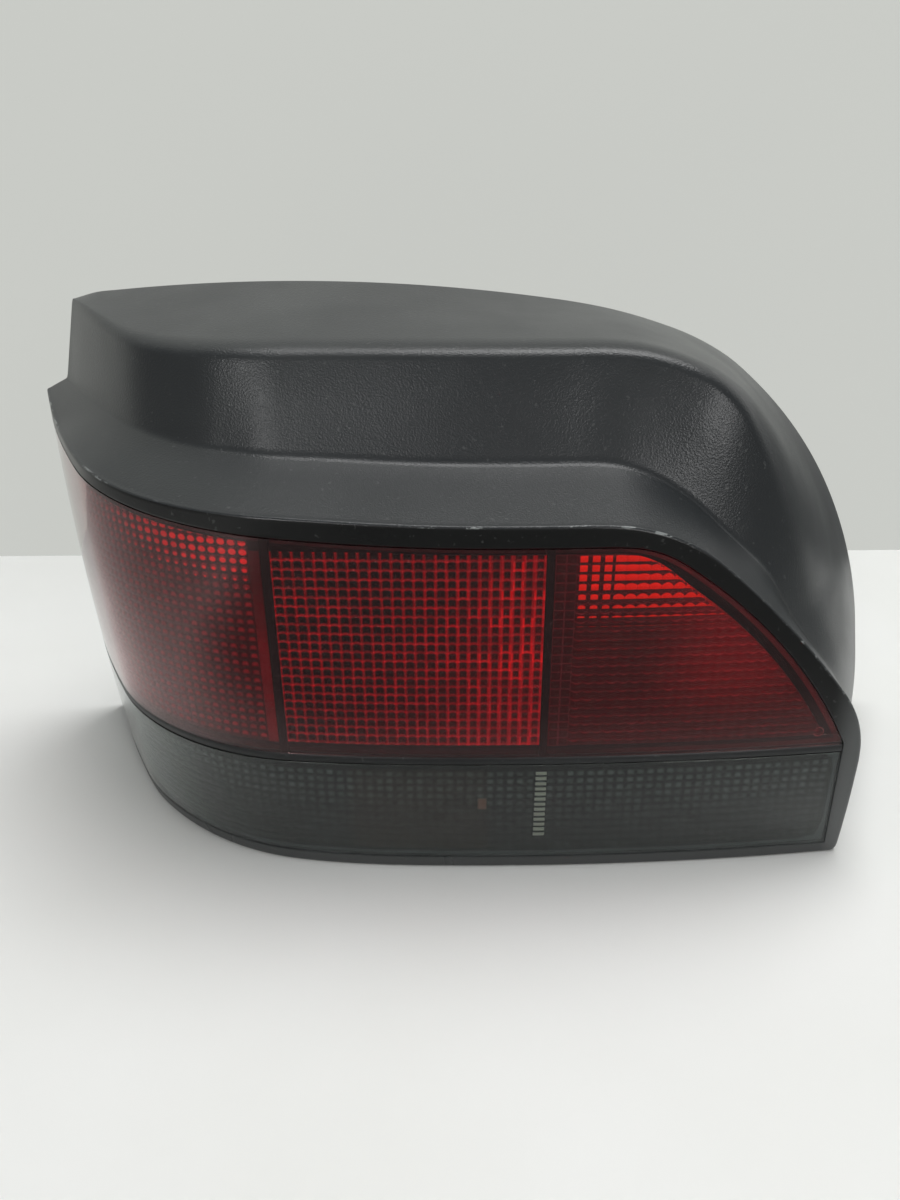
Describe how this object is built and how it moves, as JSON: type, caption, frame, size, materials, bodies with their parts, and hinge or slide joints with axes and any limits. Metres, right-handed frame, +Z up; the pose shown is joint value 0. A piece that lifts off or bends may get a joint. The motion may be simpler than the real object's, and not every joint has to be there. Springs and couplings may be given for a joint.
{
  "type": "tail light cluster",
  "caption": "Wrap-round rear lamp cluster in a hooded dark shell, red lens over a smoked lens, bulb carrier and fixing studs at the back.",
  "frame": {"origin": "centre of the bounding box at the floor, under the lamp's lower edge", "axes": "+X along the lamp's width towards its slanted end, +Y to the back where the studs point, +Z up; the lenses face -Y"},
  "size_m": [0.3896, 0.148, 0.2114],
  "materials": {
    "shell_plastic": "fine leather grain, matte",
    "red_lens": "clear red, glossy",
    "smoked_lens": "smoked, glossy",
    "black_plastic": "smooth, semi matte",
    "sealant": "matte",
    "reflex_red": "clear red prisms",
    "metallised": "bright metallised plastic",
    "amber": "clear amber",
    "carrier_plastic": "semi matte",
    "foam": "open foam",
    "contact_brass": "pressed strip",
    "tinned_steel": "tinned",
    "plated_steel": "zinc plated",
    "seal_rubber": "matte",
    "bulb_glass": "clear",
    "bulb_cap": "plated cap"
  },
  "bodies": {
    "root": {"housing": "shell_plastic", "red_lens": "red_lens", "smoked_lens": "smoked_lens", "lens_divider": "black_plastic", "lens_seal": "sealant", "back_panel": "black_plastic", "partitions": "black_plastic", "reflex_plate": "reflex_red", "reflex_tray": "black_plastic", "tail_reflector": "metallised", "fog_reflector": "metallised", "turn_reflector": "metallised", "reverse_reflector": "metallised", "amber_filter": "amber", "bulb_carrier": "carrier_plastic", "carrier_gasket": "foam", "earth_strip": "contact_brass", "supply_tracks": "contact_brass", "connector_pins": "tinned_steel", "tail_bulb_glass": "bulb_glass", "tail_bulb_cap": "bulb_cap", "fog_bulb_glass": "bulb_glass", "fog_bulb_cap": "bulb_cap", "turn_bulb_glass": "bulb_glass", "turn_bulb_cap": "bulb_cap", "reverse_bulb_glass": "bulb_glass", "reverse_bulb_cap": "bulb_cap", "mounting_studs": "plated_steel", "tower_seals": "seal_rubber", "breather_cap": "seal_rubber"}
  },
  "joints": []
}
